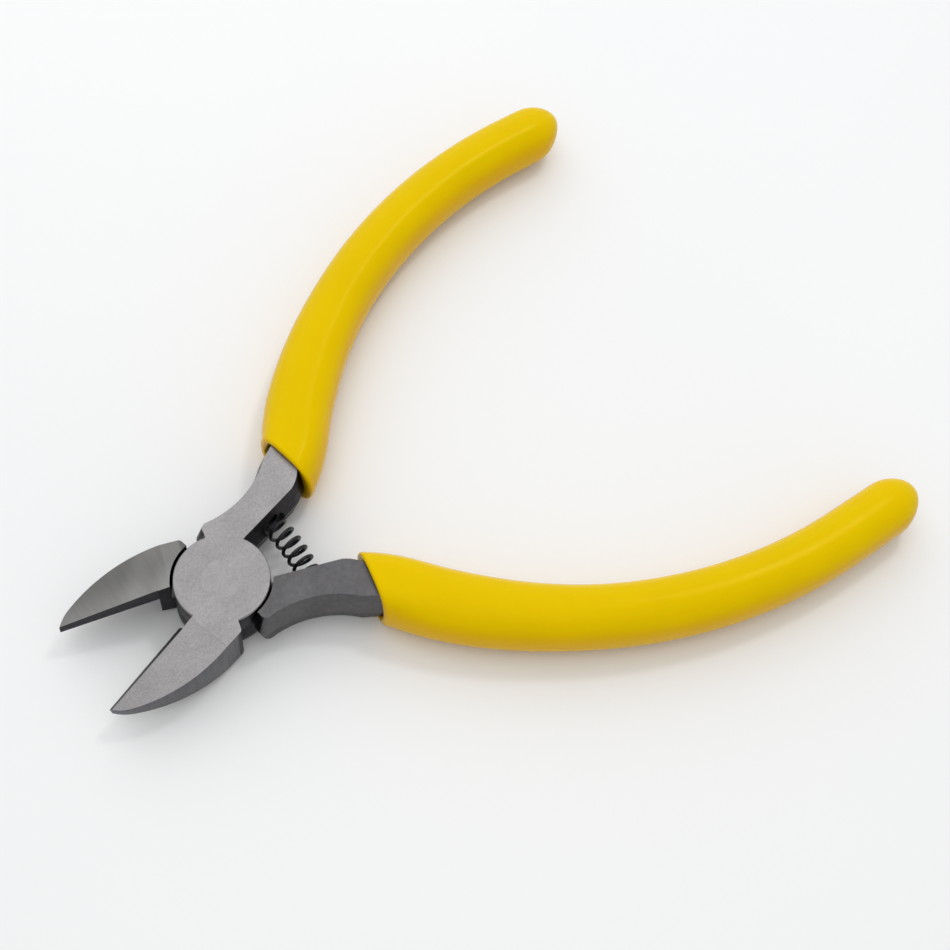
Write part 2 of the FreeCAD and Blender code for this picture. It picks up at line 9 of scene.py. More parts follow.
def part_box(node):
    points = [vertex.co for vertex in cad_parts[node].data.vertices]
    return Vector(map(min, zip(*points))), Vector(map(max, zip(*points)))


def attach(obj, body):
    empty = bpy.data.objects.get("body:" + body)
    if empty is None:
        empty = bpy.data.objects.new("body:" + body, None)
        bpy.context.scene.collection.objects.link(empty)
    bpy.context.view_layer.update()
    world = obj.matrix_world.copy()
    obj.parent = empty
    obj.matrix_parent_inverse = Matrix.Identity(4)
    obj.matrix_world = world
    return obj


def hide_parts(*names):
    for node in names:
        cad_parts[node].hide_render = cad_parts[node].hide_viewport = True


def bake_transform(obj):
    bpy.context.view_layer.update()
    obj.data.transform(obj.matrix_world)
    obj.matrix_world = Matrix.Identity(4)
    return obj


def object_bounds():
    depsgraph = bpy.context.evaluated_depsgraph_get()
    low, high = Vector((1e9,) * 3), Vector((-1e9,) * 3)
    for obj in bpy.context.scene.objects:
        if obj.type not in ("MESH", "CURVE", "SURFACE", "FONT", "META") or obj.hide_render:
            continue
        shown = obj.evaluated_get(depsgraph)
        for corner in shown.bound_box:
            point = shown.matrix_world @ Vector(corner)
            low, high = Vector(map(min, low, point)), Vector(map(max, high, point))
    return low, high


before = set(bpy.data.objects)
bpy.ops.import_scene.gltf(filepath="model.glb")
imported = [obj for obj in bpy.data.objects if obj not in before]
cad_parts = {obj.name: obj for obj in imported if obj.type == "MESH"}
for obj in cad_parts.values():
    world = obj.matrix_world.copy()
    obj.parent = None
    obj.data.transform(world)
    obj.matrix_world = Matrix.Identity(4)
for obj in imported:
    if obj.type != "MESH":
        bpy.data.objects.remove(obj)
cad_low, cad_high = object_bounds()

MM = 0.001
UP = Vector((0, 0, 1))

# ------------------------------------------------------------ sizes of the tool, in mm
JOINT_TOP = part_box("pivot_rivet")[1].z / MM
MID_HEIGHT = JOINT_TOP / 2
# turn of each lever from the closed tool to its place at rest
HALF_OPEN = math.radians(17.1)

# handle centre line of the closed top lever: bend, straight, long bow, straight
HANDLE_START = Vector((20.0, 5.9))
HANDLE_ANGLE = math.radians(17.4)
SPLAY_ANGLE = math.radians(31.2)
TOE_ANGLE = math.radians(-17.9)
SPLAY_BEND = 27.0
SPLAY_RUN = 4.0
HANDLE_BEND = 79.2
SPLAY_ARC = SPLAY_BEND * (SPLAY_ANGLE - HANDLE_ANGLE)
BOW_ARC = HANDLE_BEND * (SPLAY_ANGLE - TOE_ANGLE)
TANG_END_RUN = 4.0
TOP_GRIP_END_RUN = 9.7
BOTTOM_GRIP_END_RUN = 14.2

# hexagonal section of the drafted steel: half widths at mid height and at its flats
NECK_WIDTHS = (3.8, 2.8)
TANG_WIDTHS = (3.1, 2.0)

# section of the grips, narrower towards their ends
GRIP_HALF_WIDTH = 4.95
GRIP_END_HALF_WIDTH = 4.4
GRIP_HEIGHT_RATIO = 1.06
GRIP_ROUNDNESS = 2.35
# each side is wider by the swell, which rises and fades at these lengths
SWELL = 0.48
SWELL_RISE = (1.0, 8.0)
SWELL_FADE = (12.0, 38.0)
# the steel's facets show through near the rim
FACET_SKIN = 1.22
FACET_SHARPNESS = 6
FACET_SHARE = 0.42
FACET_FADE = (5.0, 13.0)
# the inner side is fuller near the rim
BULGE = 0.85
BULGE_FADE = (2.0, 13.0)

# the rim's slanted plane, and the station whose section the lip has
RIM_X = 21.3
RIM_SLANT = 0.12
RIM_STATION = 1.3
RIM_SEARCH = (-8.0, 12.0)
RIM_HALVINGS = 30
LIP_ROUND = 0.6
LIP_STEP_DEGREES = 15
# rings turn from the rim's slant to square over these shares of the way to SQUARE_FROM
SQUARE_FROM = 8.0
TURNING_SHARES = (0.15, 0.3, 0.45, 0.6, 0.75, 0.9)
RING_SPACING = 1.5
RING_SIZE = 72
RING_ANGLES = [2 * math.pi * (step + 0.5) / RING_SIZE for step in range(RING_SIZE)]

# the bore: lengths with the tang's section, one in the taper, and two behind the rim;
# a share goes from the neck's section at 0 to the tang's at 1
BORE_GAP = 0.12
BORE_SHARPNESS = 60
BORE_END_STEP = 6
BORE_STATIONS = (60, 50, 40, 30, 20)
BORE_TAPER_AT = 4.6
BORE_TAPER_SHARE = 0.55
BORE_MOUTH = ((1.2, 0.12), (0.12, 0.06))

# the raised rounded nose
NOSE_LENGTH = 5.6
NOSE_MARGIN = 0.8
NOSE_RINGS = 14
NOSE_POWER = 1.9
NOSE_ROOT = 0.55
NOSE_LIFT = 1.3

# the return spring: its holes in the necks, its slightly bent axis, and its wire
SPRING_HOLE_X = 13.0
SPRING_WALL_Y = 0.9
SPRING_FLOOR_Y = 3.5
SPRING_END_GAP = 0.35
SPRING_SHIFT = -0.12
SPRING_LEAN = math.radians(8.0)
SPRING_RADIUS = 1.72
SPRING_PITCH = 1.75
SPRING_END_PITCH = 0.6
WIRE_RADIUS = 0.28
WIRE_STEPS = 40
WIRE_SIDES = 14
WIRE_END_SHARES = (0.55, 0.85, 1.0)
WIRE_END_LENGTH = 0.08
# the open turns are a whole number of these parts of a turn
TURN_PARTS = 12
EASE_PASSES = 6
EASE_WIDTH = WIRE_STEPS // 8
BLEND_MARGIN = 0.6

# the steel's broken edges
EDGE_BREAK = 0.08
EDGE_SEGMENTS = 2
EDGE_ANGLE = math.radians(24)
WELD_GAP = 0.002


# ------------------------------------------------------------ meshes
def new_piece(name, points, faces, material):
    """A smooth-shaded mesh object from points in mm."""
    mesh = bpy.data.meshes.new(name)
    mesh.from_pydata([Vector(point) * MM for point in points], [], faces)
    mesh.validate()
    for polygon in mesh.polygons:
        polygon.use_smooth = True
    mesh.materials.append(material)
    piece = bpy.data.objects.new(name, mesh)
    bpy.context.scene.collection.objects.link(piece)
    return piece


def lathe_faces(ring_count, ring_size, flip):
    """Quads between consecutive rings of points."""
    faces = []
    for ring in range(ring_count - 1):
        for step in range(ring_size):
            a = ring * ring_size + step
            b = ring * ring_size + (step + 1) % ring_size
            quad = (a, b, b + ring_size, a + ring_size)
            faces.append(quad[::-1] if flip else quad)
    return faces


def smooth_step(value, low, high):
    share = min(1.0, max(0.0, (value - low) / (high - low)))
    return share * share * (3 - 2 * share)


def mix(a, b, share):
    return a + (b - a) * share


# ------------------------------------------------------------ handle centre line
def turn_left(heading):
    return Vector((-math.sin(heading), math.cos(heading)))


def along_heading(heading):
    return Vector((math.cos(heading), math.sin(heading)))


def handle_at(along):
    """Centre point and heading of the closed top lever's handle, at a length from its start."""
    point, heading = HANDLE_START.copy(), HANDLE_ANGLE
    if along <= 0:
        return point + along_heading(heading) * along, heading
    step = min(along, SPLAY_ARC)
    centre = point + turn_left(heading) * SPLAY_BEND
    heading += step / SPLAY_BEND
    point = centre - turn_left(heading) * SPLAY_BEND
    along -= step
    step = min(along, SPLAY_RUN)
    point = point + along_heading(heading) * step
    along -= step
    step = min(along, BOW_ARC)
    centre = point - turn_left(heading) * HANDLE_BEND
    heading -= step / HANDLE_BEND
    point = centre + turn_left(heading) * HANDLE_BEND
    along -= step
    return point + along_heading(heading) * along, heading


def handle_point(along, aside, rise):
    """Point beside the centre line: aside to its left, and rise above mid height."""
    point, heading = handle_at(along)
    point = point + turn_left(heading) * aside
    return Vector((point.x, point.y, MID_HEIGHT + rise))


def rim_length(aside):
    """Length along the centre line at which a point aside of it lies in the slanted rim."""
    low, high = RIM_SEARCH
    for _ in range(RIM_HALVINGS):
        middle = (low + high) / 2
        point, heading = handle_at(middle)
        if (point + turn_left(heading) * aside).x < RIM_X + RIM_SLANT * aside:
            low = middle
        else:
            high = middle
    return low


# ------------------------------------------------------------ grip sections
def facet_radius(angle, facets, sharpness):
    """Radius of a polygon with rounded corners; facets are (normal angle, distance)."""
    total = 0.0
    for normal, distance in facets:
        reach = math.cos(angle - normal) / distance
        if reach > 0:
            total += reach**sharpness
    return total ** (-1 / sharpness)


def steel_facets(widths, skin):
    """The drafted steel's hexagon, grown by a skin."""
    wide, flat = widths
    lean = math.atan2(wide - flat, MID_HEIGHT)
    side = wide * math.cos(lean) + skin
    top = MID_HEIGHT + skin
    facets = [(math.pi / 2, top), (-math.pi / 2, top)]
    for normal in (lean, -lean, math.pi - lean, math.pi + lean):
        facets.append((normal, side))
    return facets


def round_radius(angle, half_width, half_height):
    """Superellipse of the grip away from the neck."""
    wide = abs(math.cos(angle)) / half_width
    high = abs(math.sin(angle)) / half_height
    return (wide**GRIP_ROUNDNESS + high**GRIP_ROUNDNESS) ** (-1 / GRIP_ROUNDNESS)


def grip_radius(angle, along, total):
    """Outside of the grip, at an angle from its outer side."""
    half_width = mix(GRIP_HALF_WIDTH, GRIP_END_HALF_WIDTH, max(0.0, along) / total)
    swell = SWELL * smooth_step(along, *SWELL_RISE) * (1 - smooth_step(along, *SWELL_FADE))
    soft = round_radius(angle, half_width + swell, half_width * GRIP_HEIGHT_RATIO)
    hard = facet_radius(angle, steel_facets(NECK_WIDTHS, FACET_SKIN), FACET_SHARPNESS)
    share = FACET_SHARE * (1 - smooth_step(along, *FACET_FADE))
    inner = max(0.0, -math.cos(angle))
    bulge = BULGE * inner**2 * (1 - smooth_step(along, *BULGE_FADE))
    return mix(soft, hard, share) + bulge


# ------------------------------------------------------------ grips
def section_ring(radius_at, along, behind_rim):
    """Ring of points, square to the centre line or parallel to the slanted rim behind it."""
    ring = []
    for angle in RING_ANGLES:
        radius = radius_at(angle)
        aside, rise = radius * math.cos(angle), radius * math.sin(angle)
        start = rim_length(aside) if behind_rim else 0.0
        ring.append(handle_point(start + along, aside, rise))
    return ring


def bore_ring(along, share, behind_rim=False):
    """Ring of the bore, with the steel's section and the gap around it."""
    widths = [mix(neck, tang, share) for neck, tang in zip(NECK_WIDTHS, TANG_WIDTHS)]
    facets = steel_facets(widths, BORE_GAP)
    return section_ring(
        lambda angle: facet_radius(angle, facets, BORE_SHARPNESS), along, behind_rim
    )


def outer_ring(total, station, shrink=0.0, depth=None):
    """Ring of the outside with a station's section, at that station or a depth behind the rim."""
    behind_rim = depth is not None
    return section_ring(
        lambda angle: grip_radius(angle, station, total) - shrink,
        depth if behind_rim else station,
        behind_rim,
    )


def bore_rings(tang_end):
    """The bore, from the tang's end out to the rim."""
    stations = [tang_end + BORE_GAP, tang_end - BORE_END_STEP]
    stations += [*BORE_STATIONS, SPLAY_ARC + SPLAY_RUN, SPLAY_ARC]
    rings = [bore_ring(along, 1.0) for along in stations]
    rings.append(bore_ring(BORE_TAPER_AT, BORE_TAPER_SHARE))
    for depth, share in BORE_MOUTH:
        rings.append(bore_ring(depth, share, behind_rim=True))
    return rings


def lip_rings(total):
    """The rounded lip, from its inner edge to its outer one."""
    rings = []
    for degrees in range(90, -1, -LIP_STEP_DEGREES):
        swing = math.radians(degrees)
        shrink = LIP_ROUND * (1 - math.cos(swing))
        depth = LIP_ROUND * (1 - math.sin(swing))
        rings.append(outer_ring(total, RIM_STATION, shrink, depth))
    return rings


def turning_rings(total):
    """Rings that turn from the rim's slant to square over a few millimetres."""
    rings = []
    for share in TURNING_SHARES:
        station = mix(RIM_STATION, SQUARE_FROM, share)
        depth = mix(LIP_ROUND, SQUARE_FROM - RIM_STATION, share)
        slanted = outer_ring(total, station, depth=depth)
        square = outer_ring(total, station)
        weight = smooth_step(share, 0.0, 1.0)
        rings.append([a.lerp(b, weight) for a, b in zip(slanted, square)])
    return rings


def sleeve_rings(total):
    """The long sleeve up to the nose."""
    rings, along = [], SQUARE_FROM
    while along < total - NOSE_LENGTH - NOSE_MARGIN:
        rings.append(outer_ring(total, along))
        along += RING_SPACING
    return rings


def nose_rings(total):
    """The rounded nose, whose middle rises towards its tip."""
    rings = []
    start = total - NOSE_LENGTH
    for step in range(NOSE_RINGS):
        reach = math.sin(math.pi / 2 * step / NOSE_RINGS)
        scale = (1 - reach**NOSE_POWER) ** NOSE_ROOT
        lift = NOSE_LIFT * (1 - scale)
        along = start + NOSE_LENGTH * reach
        ring = []
        for angle in RING_ANGLES:
            radius = grip_radius(angle, start, total) * scale
            aside, rise = radius * math.cos(angle), radius * math.sin(angle)
            ring.append(handle_point(along, aside, lift + rise))
        rings.append(ring)
    return rings


def make_grip(name, node, body, side, end_run, material):
    """A dipped sleeve; side is 1 on the top lever and -1 on the mirrored bottom lever."""
    total = SPLAY_ARC + SPLAY_RUN + BOW_ARC + end_run
    tang_end = total - end_run + TANG_END_RUN
    rings = bore_rings(tang_end) + lip_rings(total) + turning_rings(total)
    rings += sleeve_rings(total) + nose_rings(total)
    points = [point for ring in rings for point in ring]
    flip = side < 0
    faces = lathe_faces(len(rings), RING_SIZE, flip)
    # close the bore's end and the nose
    bore_end, tip = len(points), len(points) + 1
    points.append(handle_point(tang_end + BORE_GAP, 0, 0))
    points.append(handle_point(total, 0, NOSE_LIFT))
    last = (len(rings) - 1) * RING_SIZE
    for step in range(RING_SIZE):
        following = (step + 1) % RING_SIZE
        cap = (bore_end, following, step)
        nose = (last + step, last + following, tip)
        faces.append(cap[::-1] if flip else cap)
        faces.append(nose[::-1] if flip else nose)
    swing = Matrix.Rotation(side * HALF_OPEN, 3, "Z")
    points = [swing @ Vector((point.x, side * point.y, point.z)) for point in points]
    piece = new_piece(name, points, faces, material)
    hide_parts(node)
    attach(piece, body)


# ------------------------------------------------------------ return spring
def spring_mouth():
    """Where the spring's axis leaves the top lever's hole."""
    mouth = Matrix.Rotation(HALF_OPEN, 2) @ Vector((SPRING_HOLE_X, SPRING_WALL_Y))
    mouth.x += SPRING_SHIFT
    return mouth


SPRING_MOUTH = spring_mouth()
SPRING_BEND = SPRING_MOUTH.y / math.sin(SPRING_LEAN)
SPRING_SEAT = SPRING_FLOOR_Y - SPRING_WALL_Y - WIRE_RADIUS - SPRING_END_GAP
# from the spring's middle to its end, along its axis
SPRING_REACH = SPRING_BEND * SPRING_LEAN + SPRING_SEAT


def spring_axis(along):
    """Point and heading on the spring's axis, at a signed length from its middle."""
    turned = max(-SPRING_LEAN, min(SPRING_LEAN, along / SPRING_BEND))
    centre_x = SPRING_MOUTH.x - SPRING_BEND * math.cos(SPRING_LEAN)
    centre = Vector((centre_x, 0, MID_HEIGHT))
    heading = Vector((-math.sin(turned), math.cos(turned), 0))
    point = centre + SPRING_BEND * Vector((math.cos(turned), math.sin(turned), 0))
    inside = abs(along) - SPRING_BEND * SPRING_LEAN
    if inside > 0:
        point += heading * math.copysign(inside, along)
    return point, heading


def averaged(values, width):
    """The mean of each value and its neighbours up to a width away."""
    means = []
    for number in range(len(values)):
        near = values[max(0, number - width):number + width + 1]
        means.append(sum(near) / len(near))
    return means


def spring_wire():
    """Centre points of the wire: one close turn at each end, open turns between."""
    open_length = 2 * (SPRING_REACH - SPRING_END_PITCH)
    open_parts = round(open_length / SPRING_PITCH * TURN_PARTS)
    open_steps = open_parts * WIRE_STEPS // TURN_PARTS
    close_turn = [SPRING_END_PITCH / WIRE_STEPS] * WIRE_STEPS
    rises = close_turn + [open_length / open_steps] * open_steps + close_turn
    for _ in range(EASE_PASSES):
        rises = averaged(rises, EASE_WIDTH)
    scale = 2 * SPRING_REACH / sum(rises)
    points, along = [], -SPRING_REACH
    for number, rise in enumerate([0.0] + rises):
        along += rise * scale
        angle = 2 * math.pi * number / WIRE_STEPS
        point, heading = spring_axis(along)
        sideways = heading.cross(UP)
        offset = sideways * math.cos(angle) - UP * math.sin(angle)
        points.append(point + offset * SPRING_RADIUS)
    return points


def wire_rings(course):
    """Round sections along the wire, smaller at its two rounded ends."""
    rings = []
    last = len(course) - 1
    normal = None
    for number, centre in enumerate(course):
        ahead = course[min(last, number + 1)] - course[max(0, number - 1)]
        ahead.normalize()
        if normal is None:
            normal = ahead.cross(UP).normalized()
        normal = (normal - ahead * normal.dot(ahead)).normalized()
        across = ahead.cross(normal)
        shares, outward = (1.0,), ahead
        if number == 0:
            shares, outward = WIRE_END_SHARES, -ahead
        if number == last:
            shares = WIRE_END_SHARES[::-1]
        for share in shares:
            slip = WIRE_END_LENGTH * (1 - share) / (1 - WIRE_END_SHARES[0])
            middle = centre + outward * slip
            ring = []
            for step in range(WIRE_SIDES):
                angle = 2 * math.pi * step / WIRE_SIDES
                spoke = normal * math.cos(angle) + across * math.sin(angle)
                ring.append(middle + spoke * WIRE_RADIUS * share)
            rings.append(ring)
    return rings


def make_spring(material):
    rings = wire_rings(spring_wire())
    points = [point for ring in rings for point in ring]
    faces = lathe_faces(len(rings), WIRE_SIDES, False)
    last = (len(rings) - 1) * WIRE_SIDES
    faces.append(tuple(range(WIRE_SIDES))[::-1])
    faces.append(tuple(range(last, last + WIRE_SIDES)))
    spring = new_piece("return_spring_wire", points, faces, material)
    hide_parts("return_spring")
    reach = SPRING_REACH + BLEND_MARGIN
    top, _ = spring_axis(reach)
    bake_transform(spring)


# ------------------------------------------------------------ shader graphs
class Graph:
    """Short helpers to write a material's nodes."""

    def __init__(self, name):
        self.material = bpy.data.materials.new(name)
        self.material.use_nodes = True
        self.nodes = self.material.node_tree.nodes
        self.links = self.material.node_tree.links
        self.shader = self.nodes["Principled BSDF"]
        self.coordinates = self.add("ShaderNodeTexCoord")

    def add(self, kind, **settings):
        node = self.nodes.new(kind)
        for key, value in settings.items():
            setattr(node, key, value)
        return node

    def feed(self, socket, value):
        """Link a socket, or set its value."""
        if isinstance(value, bpy.types.NodeSocket):
            self.links.new(value, socket)
        else:
            socket.default_value = value

    def set(self, name, value):
        """Link or set one of the shader's own sockets."""
        self.feed(self.shader.inputs[name], value)

    def math(self, operation, a, b=0.0):
        node = self.add("ShaderNodeMath", operation=operation)
        self.feed(node.inputs[0], a)
        self.feed(node.inputs[1], b)
        return node.outputs[0]

    def product(self, first, *others):
        for other in others:
            first = self.math("MULTIPLY", first, other)
        return first

    def distance(self, x, y):
        """Distance from the pivot's axis."""
        squares = self.math("ADD", self.product(x, x), self.product(y, y))
        return self.math("SQRT", squares)

    def ramp(self, value, low, high, to_low=0.0, to_high=1.0):
        """Smooth step of value from low to high."""
        node = self.add("ShaderNodeMapRange", interpolation_type="SMOOTHSTEP", clamp=True)
        for number, item in enumerate((value, low, high, to_low, to_high)):
            self.feed(node.inputs[number], item)
        return node.outputs[0]

    def zone(self, length, low, high, to_low=0.0, to_high=1.0):
        """Smooth step of a length, between two limits in mm."""
        return self.ramp(length, low * MM, high * MM, to_low, to_high)

    def tone(self, noise, dark, light, span=(0.3, 0.7)):
        """A noise turned into a factor, dark below its span and light above it."""
        return self.ramp(noise, *span, dark, light)

    def blend(self, share, a, b):
        node = self.add("ShaderNodeMix", data_type="RGBA")
        self.feed(node.inputs[0], share)
        for number, colour in ((6, a), (7, b)):
            if isinstance(colour, tuple):
                colour = (*colour, 1.0)
            self.feed(node.inputs[number], colour)
        return node.outputs[2]

    def scaled(self, colour, amount):
        """A named colour times a grey amount."""
        node = self.add("ShaderNodeMix", data_type="RGBA", blend_type="MULTIPLY")
        self.feed(node.inputs[0], 1.0)
        self.feed(node.inputs[6], (*colour, 1.0))
        self.feed(node.inputs[7], amount)
        return node.outputs[2]

    def place(self, turn=0.0, scale=(1.0, 1.0, 1.0)):
        """Object coordinates, turned about Z and scaled."""
        mapping = self.add("ShaderNodeMapping")
        self.links.new(self.coordinates.outputs["Object"], mapping.inputs["Vector"])
        mapping.inputs["Rotation"].default_value = (0.0, 0.0, turn)
        mapping.inputs["Scale"].default_value = scale
        return mapping.outputs["Vector"]

    def split(self, vector):
        node = self.add("ShaderNodeSeparateXYZ")
        self.links.new(vector, node.inputs[0])
        return node.outputs

    def noise(self, vector, scale, detail, rough):
        node = self.add("ShaderNodeTexNoise")
        self.links.new(vector, node.inputs["Vector"])
        node.inputs["Scale"].default_value = scale
        node.inputs["Detail"].default_value = detail
        node.inputs["Roughness"].default_value = rough
        return node.outputs["Fac"]

    def bump(self, height, depth, strength, before=None):
        """Bumps of a depth in mm, on top of the ones before."""
        node = self.add("ShaderNodeBump")
        node.inputs["Strength"].default_value = strength
        node.inputs["Distance"].default_value = depth * MM
        self.links.new(height, node.inputs["Height"])
        if before is not None:
            self.links.new(before, node.inputs["Normal"])
        return node.outputs["Normal"]


# ------------------------------------------------------------ steel
GROUND = (0.276, 0.266, 0.268)
BACK_JAW = (0.220, 0.216, 0.207)
FORGED = (0.106, 0.102, 0.105)
JAW_WALL = (0.14, 0.138, 0.15)
# black oxide of the inner and joint walls, made darker still as painted shade
BLACK_OXIDE_AND_SHADE = (0.026, 0.024, 0.030)
RIVET = (0.284, 0.272, 0.278)

# noises: scale in cycles per metre, detail, roughness
GRAIN = (3200.0, 3.0, 0.6)
COARSE = (1300.0, 3.0, 0.6)
CLOUD = (170.0, 2.0, 0.5)
SMEAR = (240.0, 3.0, 0.6)
STREAK = (130.0, 3.0, 0.6)
UPRIGHT_MARKS = (2600.0, 2.0, 0.55)
RIVET_CLOUD = (420.0, 2.0, 0.5)
# the wider span of the grain on ground steel
GROUND_SPAN = (0.28, 0.72)

# directions of the smears, streaks and rivet; a scale above 1 squeezes a noise along its
# axis, and one below 1 stretches it
SMEAR_TURN = 0.9
SMEAR_SCALE = (1.0, 5.0, 1.0)
STREAK_TURN = 0.35
STREAK_SCALE = (12.0, 1.0, 1.0)
UPRIGHT_SCALE = (1.0, 1.0, 0.04)
RIVET_TURN = 0.4

# where finishes, painted sheen and painted shade meet on the closed lever, in mm: x along
# it from the pivot, and z from the side opposite its ground face
ARM_FROM_X = (-0.5, 0.5)
JAW_UP_TO_X = (-5.0, -4.2)
JAW_SLOPE_X = (-8.1, -7.2)
JAW_ROOT_X = (-10.5, -8.0)
BLACK_FROM_X = (-9.45, -9.3)
BAND_RISE = (-16.5, -13.5)
BAND_FALL = (-13.5, -10.5)
BAND_LEAN = -0.45
JAW_BREADTH = (0.0, 5.5)
UPPER_WALL_Z = (4.1, 4.6)
GROUND_FROM_Z = (4.15, 4.4)
DISC_RIM_Z = (7.75, 7.82)
DISC_RIM_RADIUS = (7.3, 7.4)
ROUND_JOINT_RADIUS = (9.3, 9.6)
OUTER_ARM_RADIUS = (8.9, 9.1)
RIVET_SEAM_RADIUS = (2.98, 3.1)

# parts of a face's normal: the upright one where steep faces end and the ground face
# starts, and the one towards the other lever where inner walls start
STEEP_FACING = (0.62, 0.8)
GROUND_FACING = (0.80, 0.93)
INWARD_FACING = (0.2, 0.45)


class LeverGraph(Graph):
    """A lever's material, laid out on the closed lever with its ground face up."""

    def __init__(self, name, side, face_up):
        super().__init__(name)
        self.side = side
        self.turn = -side * HALF_OPEN
        self.here = self.place(self.turn)
        self.x, self.y, self.z = self.split(self.here)
        normal = self.add("ShaderNodeMapping", vector_type="NORMAL")
        normal.inputs["Rotation"].default_value = (0.0, 0.0, self.turn)
        self.links.new(self.coordinates.outputs["Normal"], normal.inputs["Vector"])
        _, self.leaning, self.facing = self.split(normal.outputs["Vector"])
        if not face_up:
            self.facing = self.math("MULTIPLY", self.facing, -1.0)
            self.z = self.math("SUBTRACT", JOINT_TOP * MM, self.z)
        self.radius = self.distance(self.x, self.y)
        self.steep = self.ramp(self.math("ABSOLUTE", self.facing), *STEEP_FACING, 1.0, 0.0)
        self.arm = self.zone(self.x, *ARM_FROM_X)
        self.jaw = self.zone(self.x, *JAW_UP_TO_X, 1.0, 0.0)
        self.grain = self.noise(self.here, *GRAIN)
        self.coarse = self.noise(self.here, *COARSE)
        self.cloud = self.noise(self.here, *CLOUD)


def ground_finish(g):
    """Ground steel with smears and clouds, and painted light that makes the slope of the jaw
    lighter.
    """
    smear = g.noise(g.place(g.turn + SMEAR_TURN, SMEAR_SCALE), *SMEAR)
    patchy = g.product(g.tone(smear, 0.97, 1.03), g.tone(g.cloud, 0.95, 1.06))
    # painted light: the jaw's slope is made a tenth lighter in colour
    slope = g.zone(g.x, *JAW_SLOPE_X, 1.1, 1.0)
    tone = g.product(g.tone(g.grain, 0.85, 1.15, GROUND_SPAN), patchy, slope)
    return g.scaled(GROUND, tone)


def back_jaw_finish(g):
    """The other face of a jaw, with a painted sheen: brighter at its cutting edge, at its root
    and in a band.
    """
    inset = g.math("MULTIPLY", g.y, -g.side)
    oblique = g.math("ADD", g.x, g.math("MULTIPLY", inset, BAND_LEAN))
    # painted sheen: a bright oblique band, and a brightening towards the cutting edge
    band = g.product(g.zone(oblique, *BAND_RISE), g.zone(oblique, *BAND_FALL, 1.0, 0.0))
    painted_sheen = g.math("ADD", g.zone(inset, *JAW_BREADTH, 1.12, 0.7), g.product(band, 0.16))
    streak = g.noise(g.place(g.turn + STREAK_TURN, STREAK_SCALE), *STREAK)
    # painted sheen, brighter towards the jaw's root
    root = g.zone(g.x, *JAW_ROOT_X, 0.96, 1.15)
    painted_sheen = g.product(painted_sheen, g.tone(streak, 0.965, 1.035), root)
    return g.scaled(BACK_JAW, g.product(painted_sheen, g.tone(g.grain, 0.95, 1.05)))


def forged_finish(g):
    """Blackened forging skin, with a painted shade that makes it darkest on the upper half of the
    steep walls.
    """
    # painted shade on the upper half of the steep walls
    upper_wall_shade = g.product(g.steep, g.zone(g.z, *UPPER_WALL_Z))
    skin = g.product(
        g.tone(g.coarse, 0.92, 1.08),
        g.tone(g.cloud, 0.92, 1.08),
        g.ramp(g.steep, 0.0, 1.0, 1.0, 1.12),
        g.ramp(upper_wall_shade, 0.0, 1.0, 1.0, 0.4),
    )
    return g.scaled(FORGED, skin)


def wall_finishes(g):
    """The jaw's wall with upright grinding marks, and the dark inner walls: black oxide with
    painted shade, and on the jaw a painted shade of its wall.
    """
    marks = g.noise(g.place(g.turn, UPRIGHT_SCALE), *UPRIGHT_MARKS)
    # painted shade: the jaw's wall darkened to under half on its side that faces the other lever
    shaded = g.scaled(JAW_WALL, g.tone(marks, 0.39, 0.47))
    wall = g.scaled(JAW_WALL, g.tone(marks, 0.9, 1.1))
    # black oxide with painted shade on the inner and joint walls
    black = g.scaled(BLACK_OXIDE_AND_SHADE, g.tone(g.coarse, 0.7, 1.3))
    return wall, g.blend(g.zone(g.x, *BLACK_FROM_X, 1.0, 0.0), black, shaded)


def inner_share(g):
    """Walls that face the other lever, and those round the joint but an arm's outer ones; these
    take the black oxide deepened by painted shade.
    """
    inward = g.product(g.leaning, g.ramp(g.arm, 0.0, 1.0, g.side, -g.side))
    outer_arm = g.product(g.arm, g.zone(g.radius, *OUTER_ARM_RADIUS))
    close = g.product(
        g.zone(g.radius, *ROUND_JOINT_RADIUS, 1.0, 0.0),
        g.steep,
        g.math("SUBTRACT", 1.0, outer_arm),
    )
    return g.math("MAXIMUM", g.ramp(inward, *INWARD_FACING), close)


def ground_share(g):
    """The ground face, and the broken rim of the joint's disc."""
    flat = g.product(g.ramp(g.facing, *GROUND_FACING), g.zone(g.z, *GROUND_FROM_Z))
    rim = g.product(g.zone(g.radius, *DISC_RIM_RADIUS, 1.0, 0.0), g.zone(g.z, *DISC_RIM_Z))
    return g.math("MAXIMUM", flat, rim)


def steel_material(name, side, face_up):
    """Forged steel, ground on the face of this lever's joint half and dark elsewhere."""
    g = LeverGraph(name, side, face_up)
    wall, inner = wall_finishes(g)
    base = g.blend(g.jaw, forged_finish(g), g.blend(g.steep, back_jaw_finish(g), wall))
    base = g.blend(inner_share(g), base, inner)
    g.set("Base Color", g.blend(ground_share(g), base, ground_finish(g)))
    g.set("Metallic", 1.0)
    g.set("Roughness", g.tone(g.grain, 0.38, 0.5))
    fine = g.bump(g.grain, 0.008, 0.6)
    g.set("Normal", g.bump(g.coarse, 0.008, 0.5, fine))
    return g.material


